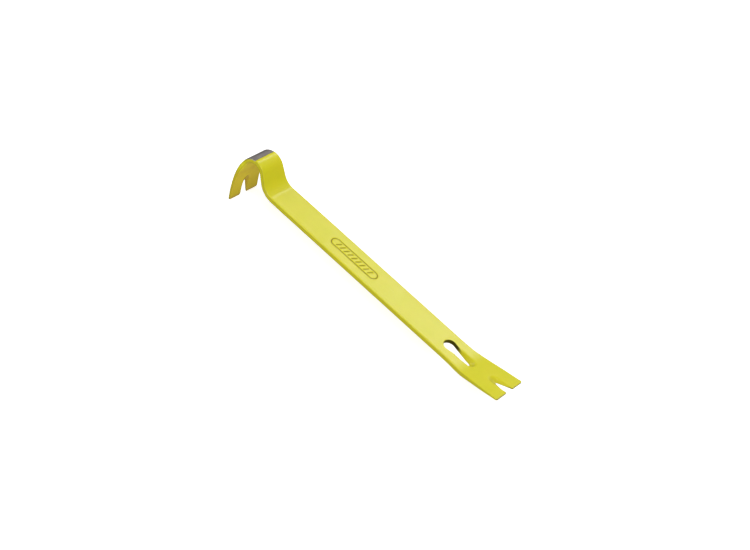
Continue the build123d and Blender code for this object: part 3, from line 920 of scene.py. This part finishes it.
def enamel_material():
    material, k = new_material("yellow_enamel")
    where = k.coordinates("Object")
    run = k.attribute("run", "Vector")
    edge, groove, cut, tip, strip, painted_wall_shade, hook, ends = (
        k.attribute(name)
        for name in ("edge", "groove", "cut", "tip", "strip", "painted_wall_shade", "hook", "ends"))
    along = k.new("ShaderNodeSeparateXYZ", {0: run}).outputs["X"]
    broad = k.noise(where, scale=38.0, detail=2.0)
    mottle = k.noise(where, scale=260.0)
    # handling scuffs that run mostly along the bar, in patches
    fine = k.noise(k.stretch(run, (0.05, 1.6, 1.0)), scale=1.0, detail=4.0, rough=0.65)
    patches = k.noise(where, scale=55.0, detail=2.0)
    scuff = k.times(k.span(fine, reads=(0.60, 0.72)), k.span(patches, reads=(0.50, 0.68)))

    # how much of each tint is laid over the ones before it
    edge_darkening = k.span(k.plus(edge, k.times(mottle, 0.3)), reads=(0.80, 1.25), gives=(0, 0.55))
    # painted shade towards the hook's tip, and a painted warm bounce light on the hook
    hook_end_shade = k.span(along, reads=(TOTAL - 24.0, TOTAL - 3.0), gives=(0.0, 0.45))
    painted_warm_bounce = k.times(hook, k.span(broad, reads=(0.35, 0.65), gives=(0.20, 0.55)))
    layers = [
        # broad drift and finer mottling
        (k.span(broad, reads=(0.35, 0.65)), rgb(0.765, 0.740, 0.013)),
        (k.span(mottle, reads=(0.3, 0.7), gives=(0, 0.22)), rgb(0.72, 0.65, 0.020)),
        # darker along the rounded edges, in patches
        (edge_darkening, rgb(0.40, 0.375, 0.035)),
        # painted shade in the stamped grooves, then the strip's border, then painted shade on
        # the bevels, deeper on the hook's own bevels
        (k.times(groove, 0.92), rgb(0.31, 0.235, 0.010)),
        (k.times(strip, 0.35), rgb(0.58, 0.55, 0.12)),
        (k.times(cut, 0.38), rgb(0.50, 0.43, 0.012)),
        (k.times(k.times(cut, hook), 0.75), rgb(0.33, 0.245, 0.012)),
        # painted shade on the walls of the slot and notches and on the prongs' end faces; darker
        # at the hook's tip
        (k.times(painted_wall_shade, 0.94), rgb(0.030, 0.030, 0.004)),
        (k.times(ends, 0.90), rgb(0.20, 0.18, 0.014)),
        (k.times(k.times(tip, hook), 0.85), rgb(0.20, 0.16, 0.030)),
        # painted shade darkening the hook towards its tip, and a painted warm bounce light over
        # the hook
        (hook_end_shade, rgb(0.40, 0.31, 0.020)),
        (painted_warm_bounce, rgb(0.66, 0.49, 0.020)),
        (k.times(scuff, 0.06), rgb(0.80, 0.78, 0.16)),
    ]
    colour = rgb(0.800, 0.745, 0.017)
    for amount, tint in layers:
        colour = k.mix(amount, colour, tint)

    # small chips at the tips and sharp edges
    chip_noise = k.noise(where, scale=900.0, rough=0.6)
    chip_drive = k.plus(k.times(k.times(tip, edge), 0.22), k.times(edge, 0.03))
    chips = k.span(k.plus(chip_noise, chip_drive), reads=(0.785, 0.800))

    # scuffs and grooves are duller than the rest
    rough = k.span(k.noise(where, scale=140.0), reads=(0.3, 0.7), gives=(0.17, 0.23))
    rough = k.plus(rough, k.times(scuff, 0.16))
    rough = k.plus(rough, k.times(groove, 0.08))

    # orange peel, fine grain, scuffs, and the step at each chip
    peel = k.noise(where, scale=620.0, detail=2.0, rough=0.45)
    grain = k.noise(where, scale=3600.0, detail=2.0)
    height = k.plus(k.times(peel, 1.0), k.times(grain, 0.10))
    height = k.minus(height, k.times(scuff, 0.10))
    height = k.minus(height, k.times(chips, 1.5))
    bump = k.bump(height, strength=0.30, metres=0.00009)

    # where shade is painted on the walls, their reflection is turned down too
    paint = k.principled({
        "Base Color": colour, "Roughness": rough, "IOR": 1.47, "Normal": bump,
        "Specular IOR Level": k.span(painted_wall_shade, reads=(0.0, 1.0), gives=(0.5, 0.06))})
    metal = k.principled({"Base Color": rgb(0.30, 0.27, 0.25), "Metallic": 0.9,
                          "Roughness": 0.48, "Normal": bump})
    shader = k.new("ShaderNodeMixShader", {0: chips, 1: paint, 2: metal}).outputs[0]
    k.new("ShaderNodeOutputMaterial", {"Surface": shader})
    return material


def steel_material():
    material, k = new_material("bare_steel")
    where = k.coordinates("Object")
    run = k.attribute("run", "Vector")
    strip = k.attribute("strip")
    # fine and deeper lines along the bar, over a cloudy tone
    lines = k.noise(k.stretch(run, (0.10, 5.0, 1.0)), scale=1.0, detail=5.0, rough=0.7)
    deep_lines = k.noise(k.stretch(run, (0.22, 2.2, 1.0)), scale=1.0, rough=0.6)
    cloudy = k.noise(where, scale=110.0)
    layers = [
        (k.span(cloudy, reads=(0.3, 0.7)), rgb(0.515, 0.468, 0.450)),
        (k.span(lines, reads=(0.35, 0.7), gives=(0, 0.55)), rgb(0.64, 0.595, 0.565)),
        (k.span(deep_lines, reads=(0.60, 0.74), gives=(0, 0.5)), rgb(0.16, 0.14, 0.15)),
        # darker by the strip's border
        (k.times(strip, 0.55), rgb(0.20, 0.175, 0.165)),
    ]
    colour = rgb(0.395, 0.355, 0.345)
    for amount, tint in layers:
        colour = k.mix(amount, colour, tint)
    rough = k.span(k.plus(k.times(lines, 0.6), k.times(cloudy, 0.4)),
                   reads=(0.3, 0.7), gives=(0.36, 0.52))
    height = k.plus(k.times(lines, 0.7), k.times(deep_lines, -0.6))
    shader = k.principled({
        "Base Color": colour, "Metallic": 1.0, "Roughness": rough, "Anisotropic": 0.4,
        "Normal": k.bump(height, strength=0.35, metres=0.00008)})
    k.new("ShaderNodeOutputMaterial", {"Surface": shader})
    return material


def floor_material():
    material, k = new_material("pale_floor")
    tone = k.span(k.noise(k.coordinates("Object"), scale=3.0, detail=2.0), reads=(0.3, 0.7),
                  gives=(0.0, 1.0))
    pale = k.mix(tone, rgb(0.90, 0.90, 0.90), rgb(0.92, 0.92, 0.92))
    matt = k.new("ShaderNodeBsdfDiffuse", {"Color": pale}).outputs[0]
    glow = k.new("ShaderNodeEmission", {"Color": rgb(1, 1, 1), "Strength": 0.62}).outputs[0]
    shader = k.new("ShaderNodeAddShader", {0: matt, 1: glow}).outputs[0]
    k.new("ShaderNodeOutputMaterial", {"Surface": shader})
    return material


# ---------------------------------------------------------------------------
# floor, lights, world and camera, in metres
# ---------------------------------------------------------------------------
def add_floor(half=8, gap=0.0002):
    """A floor just below the bar, seen by the camera but lighting nothing."""
    z = float(cad_lo.z) - gap
    corners = [(-half, -half, z), (half, -half, z), (half, half, z), (-half, half, z)]
    mesh = bpy.data.meshes.new("floor")
    mesh.from_pydata(corners, [], [(0, 1, 2, 3)])
    floor = bpy.data.objects.new("floor", mesh)
    bpy.context.scene.collection.objects.link(floor)
    mesh.materials.append(floor_material())
    floor.visible_glossy = False
    floor.visible_diffuse = False
    floor.visible_shadow = False


def add_softbox(name, towards, size, radiance, mirrored=True, distance_off=2.0):
    """A rectangular soft light in the given direction, facing the origin."""
    direction = Vector(towards).normalized()
    data = bpy.data.lights.new(name, "AREA")
    data.shape, data.size, data.size_y = "RECTANGLE", size[0], size[1]
    data.energy = radiance * pi * size[0] * size[1]
    light = bpy.data.objects.new(name, data)
    light.location = direction * distance_off
    light.rotation_mode = "QUATERNION"
    light.rotation_quaternion = direction.to_track_quat("Z", "Y")
    bpy.context.scene.collection.objects.link(light)
    light.visible_glossy = mirrored


def add_lights():
    add_softbox("top_light", towards=(0.25, -0.5, 1.0), size=(1.6, 1.6), radiance=2.42)
    add_softbox("left_light", towards=(-0.85, -0.25, 0.50), size=(1.2, 1.2), radiance=1.5)
    # these two light the far side without being mirrored in faces seen at a low angle
    add_softbox("far_side_light", towards=(0.15, 1.0, -0.02), size=(1.8, 0.9), radiance=1.9,
                mirrored=False)
    add_softbox("hook_back_light", towards=(-0.95, 0.30, -0.20), size=(1.1, 0.9),
                radiance=1.5, mirrored=False)


# soft lamps in the studio's dome: direction, spread in degrees, strength
DOME_LAMPS = [
    ((-0.255, 0.69, 0.675), 4.7, 4.5),
    ((0.06, 0.73, 0.54), 12.5, 0.75),
    ((-0.45, 0.88, 0.08), 13.0, 0.9),
    ((-0.30, -0.68, -0.67), 24.0, 0.26),
]


def dome_lamp(k, direction, towards, spread, strength):
    """A round soft spot of light on the dome."""
    facing = k.dot(direction, tuple(Vector(towards).normalized()))
    fall = k.math("DIVIDE", k.minus(facing, 1.0), radians(spread)**2)
    return k.times(k.math("EXPONENT", fall), strength)


def build_world():
    """A dim dome with soft lamps; the camera itself sees only a plain pale backdrop."""
    world = bpy.data.worlds.new("studio")
    bpy.context.scene.world = world
    world.use_nodes = True
    k = Nodes(world.node_tree)

    def background(colour, strength):
        return k.new("ShaderNodeBackground", {"Color": colour, "Strength": strength}).outputs[0]

    direction = k.coordinates("Generated")
    height = k.new("ShaderNodeSeparateXYZ", {0: direction}).outputs["Z"]
    light = k.span(height, reads=(-0.20, 0.25), gives=(0.02, 0.42))
    # the dome is darker on the far side, +Y
    behind = k.dot(direction, (-0.1, 0.95, 0.3))
    light = k.times(light, k.span(behind, reads=(-0.3, 0.85), gives=(1.15, 0.38)))
    for towards, spread, strength in DOME_LAMPS:
        light = k.plus(light, dome_lamp(k, direction, towards, spread, strength))
    # a warm fill from below on the +X side, towards the hook's inner face
    warm = dome_lamp(k, direction, towards=(0.58, 0.0, -0.81), spread=28.0, strength=1.52)
    lit = k.new("ShaderNodeAddShader", {0: background(rgb(1, 1, 1), light),
                                        1: background(rgb(1.0, 0.80, 0.40), warm)}).outputs[0]
    plain = background(rgb(0.965, 0.965, 0.965), 1.0)
    seen = k.new("ShaderNodeLightPath", {}).outputs["Is Camera Ray"]
    shader = k.new("ShaderNodeMixShader", {0: seen, 1: lit, 2: plain}).outputs[0]
    k.new("ShaderNodeOutputWorld", {"Surface": shader})


def add_camera():
    data = bpy.data.cameras.new("camera")
    data.sensor_width, data.lens = 36.0, 94.382304
    data.clip_start, data.clip_end = 0.05, 50.0
    data.shift_x, data.shift_y = -0.0005, 0.0004
    camera = bpy.data.objects.new("camera", data)
    # the camera's own axes in the scene
    right = Vector((0.70749417, 0.62851141, 0.3231492))
    up = Vector((-0.63852796, 0.37252595, 0.67342888))
    back = Vector((0.30287627, -0.6827868, 0.66488205))
    turn = Matrix((right, up, back)).transposed().to_4x4()
    place = Vector((0.628379, -1.403002, 1.373638))
    camera.matrix_world = Matrix.Translation(place) @ turn
    bpy.context.scene.collection.objects.link(camera)
    bpy.context.scene.camera = camera


enamel_skin, steel_bar = build_bar()
for piece, node, slot in ((enamel_skin, "enamel_coat", "yellow_enamel"),
                          (steel_bar, "forged_bar", "bare_steel")):
    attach(piece, "root")
    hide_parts(node)
enamel_skin.data.materials.append(enamel_material())
steel_bar.data.materials.append(steel_material())
add_floor()
add_lights()
build_world()
add_camera()
bpy.context.scene.view_settings.view_transform = "Standard"
